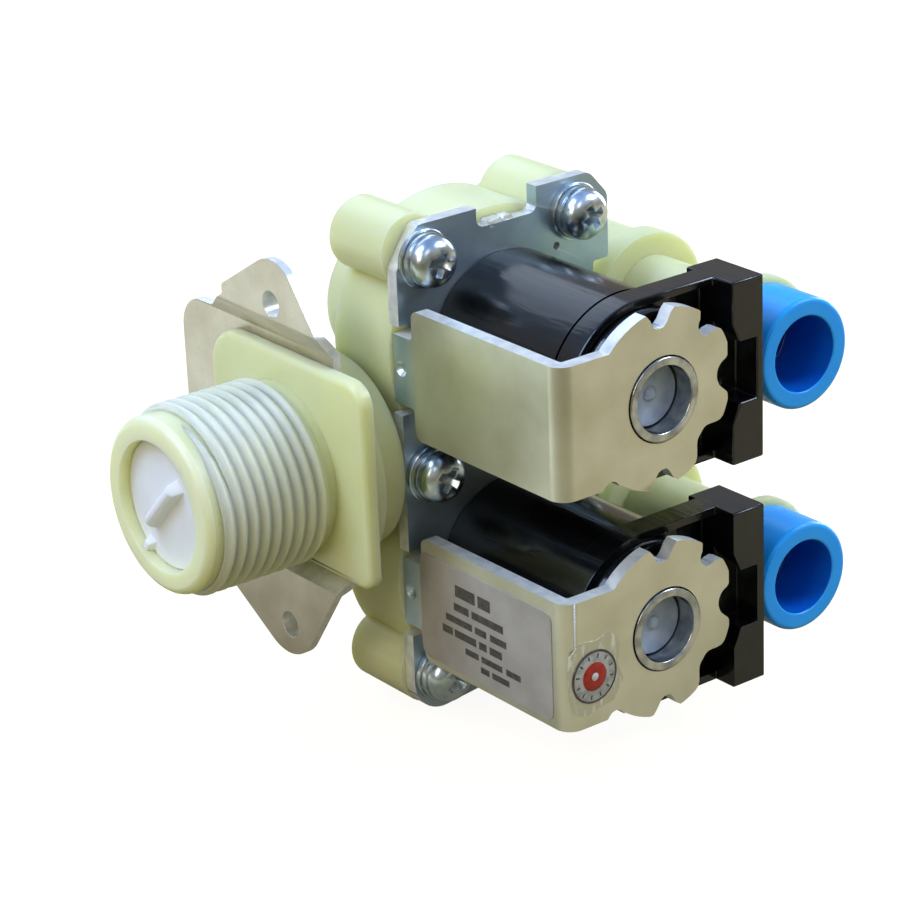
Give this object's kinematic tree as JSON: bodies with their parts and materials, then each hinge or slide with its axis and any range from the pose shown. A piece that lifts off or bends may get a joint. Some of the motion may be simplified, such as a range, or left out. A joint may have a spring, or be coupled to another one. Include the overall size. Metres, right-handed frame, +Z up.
{
  "type": "washing machine inlet valve",
  "caption": "Solenoid water inlet valve for a washing machine, with a threaded inlet, a mounting bracket, stacked coils on a steel yoke and side outlets.",
  "frame": {"origin": "on the inlet axis, in the face of the bracket that lies against the machine's wall, midway between the two bracket holes", "axes": "+X from the wall into the machine, so the threaded inlet points to -X; -Y along the solenoids and outlets, away from the valve body; +Z up"},
  "size_m": [0.0838, 0.0702, 0.071],
  "materials": {
    "cream_nylon": "moulded, slightly translucent",
    "white_nylon": "moulded",
    "clear_nylon": "translucent, moulded",
    "zinc_bracket": "zinc plated, satin",
    "zinc_yoke": "zinc plated, satin",
    "zinc_screw": "bright zinc plated",
    "steel_sleeve": "turned, plated",
    "plunger_steel": "ground",
    "spring_steel": "drawn",
    "tinned_brass": "tinned",
    "black_moulding": "glossy, moulded",
    "black_rubber": "moulded",
    "blue_plastic": "moulded, satin gloss",
    "label_film": "matt film",
    "seal_film": "printed film"
  },
  "bodies": {
    "valve": {"valve_body": "cream_nylon", "mounting_bracket": "zinc_bracket", "yoke": "zinc_yoke", "inlet_strainer": "white_nylon", "screws": "zinc_screw", "label": "label_film", "seal_sticker": "seal_film", "coil_upper": "black_moulding", "coil_lower": "black_moulding", "terminals_upper": "tinned_brass", "terminals_lower": "tinned_brass", "flux_sleeve_upper": "steel_sleeve", "flux_sleeve_lower": "steel_sleeve", "guide_tube_upper": "clear_nylon", "guide_tube_lower": "clear_nylon", "plunger_spring_upper": "spring_steel", "plunger_spring_lower": "spring_steel", "diaphragm_upper": "black_rubber", "diaphragm_lower": "black_rubber", "outlet_sleeve_upper": "blue_plastic", "outlet_sleeve_lower": "blue_plastic"},
    "plunger_upper": {"plunger_upper": "plunger_steel"},
    "insert_upper": {"diaphragm_insert_upper": "white_nylon"},
    "plunger_lower": {"plunger_lower": "plunger_steel"},
    "insert_lower": {"diaphragm_insert_lower": "white_nylon"}
  },
  "joints": [
    {"name": "plunger_lift_upper", "type": "slide", "parent": "valve", "child": "plunger_upper", "axis": [0, -1, 0], "range_m": [0, 0.0025], "stiffness_N_per_m": 150, "springref_m": -0.004, "deforming": ["plunger_spring_upper"]},
    {"name": "diaphragm_lift_upper", "type": "slide", "parent": "valve", "child": "insert_upper", "axis": [0, -1, 0], "range_m": [0, 0.00175], "deforming": ["diaphragm_upper"]},
    {"name": "plunger_lift_lower", "type": "slide", "parent": "valve", "child": "plunger_lower", "axis": [0, -1, 0], "range_m": [0, 0.0025], "stiffness_N_per_m": 150, "springref_m": -0.004, "deforming": ["plunger_spring_lower"]},
    {"name": "diaphragm_lift_lower", "type": "slide", "parent": "valve", "child": "insert_lower", "axis": [0, -1, 0], "range_m": [0, 0.00175], "deforming": ["diaphragm_lower"]}
  ],
  "couplings": [
    {"joint": "diaphragm_lift_upper", "follows": "plunger_lift_upper", "ratio": 0.7},
    {"joint": "diaphragm_lift_lower", "follows": "plunger_lift_lower", "ratio": 0.7}
  ]
}
